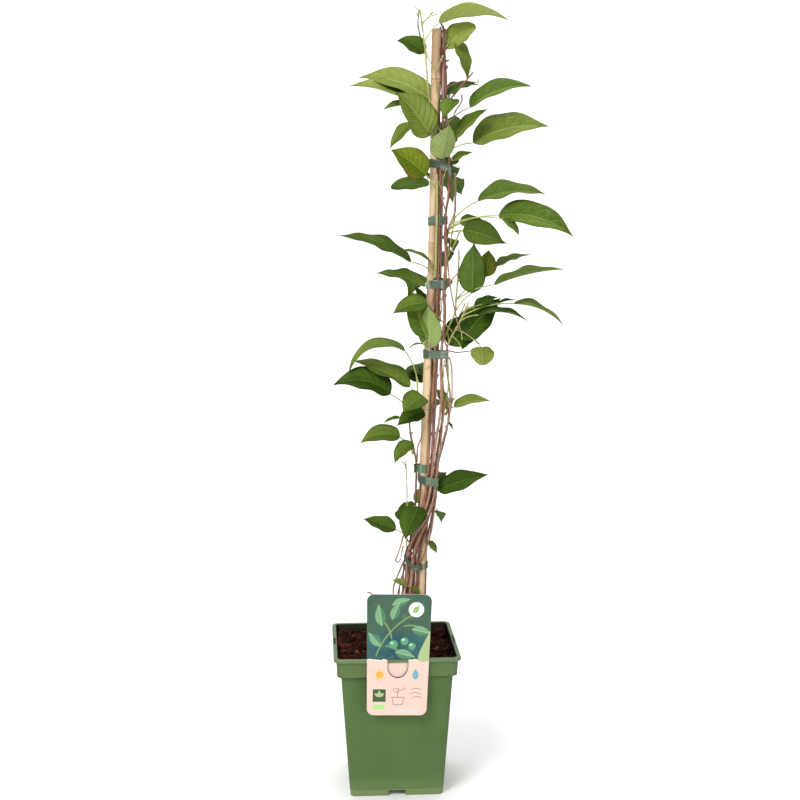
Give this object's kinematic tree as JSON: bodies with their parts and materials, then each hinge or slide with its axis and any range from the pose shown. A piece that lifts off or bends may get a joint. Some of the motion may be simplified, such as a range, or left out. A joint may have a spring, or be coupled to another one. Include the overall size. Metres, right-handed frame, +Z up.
{
  "type": "potted hardy kiwi vine",
  "caption": "Young vine with ovate leaves, tied up a bamboo cane in a square nursery pot filled with bark mulch, with a hang-on plant label.",
  "frame": {"origin": "middle of the pot's underside, on the ground", "axes": "+Z up along the cane and the object's longest side; -Y towards the pot side that carries the label; +X to the right of a viewer who faces the label"},
  "size_m": [0.2804, 0.1909, 0.9305],
  "materials": {
    "pot_plastic": "moulded olive green, satin",
    "bark_mulch": "dark, damp bark chips",
    "bamboo": "natural cane, satin",
    "vine_bark": "grey-brown bark, matt",
    "tie_tape": "green tape, glossy",
    "label_card": "printed plastic card, satin",
    "leaf": "fresh green leaf, satin"
  },
  "bodies": {
    "root": {"cane": "bamboo", "foliage_back_high": "leaf", "foliage_back_low": "leaf", "foliage_back_middle": "leaf", "foliage_back_upper": "leaf", "foliage_foot": "leaf", "foliage_front_middle": "leaf", "foliage_left_foot": "leaf", "foliage_left_low": "leaf", "foliage_left_middle": "leaf", "foliage_right_foot": "leaf", "foliage_right_high": "leaf", "foliage_right_low": "leaf", "foliage_right_lower": "leaf", "foliage_right_middle": "leaf", "foliage_tip": "leaf", "foliage_tip_shoot": "leaf", "foliage_top_back": "leaf", "foliage_top_left": "leaf", "foliage_top_right": "leaf", "foliage_upper_left": "leaf", "foliage_upper_right": "leaf", "label": "label_card", "pot": "pot_plastic", "potting_mix": "bark_mulch", "stem_back": "vine_bark", "stem_fourth": "vine_bark", "stem_front": "vine_bark", "stem_main": "vine_bark", "stem_second": "vine_bark", "stem_side": "vine_bark", "stem_third": "vine_bark", "tie_1": "tie_tape", "tie_2": "tie_tape", "tie_3": "tie_tape", "tie_4": "tie_tape", "tie_5": "tie_tape", "tie_6": "tie_tape", "tie_7": "tie_tape"}
  },
  "joints": []
}
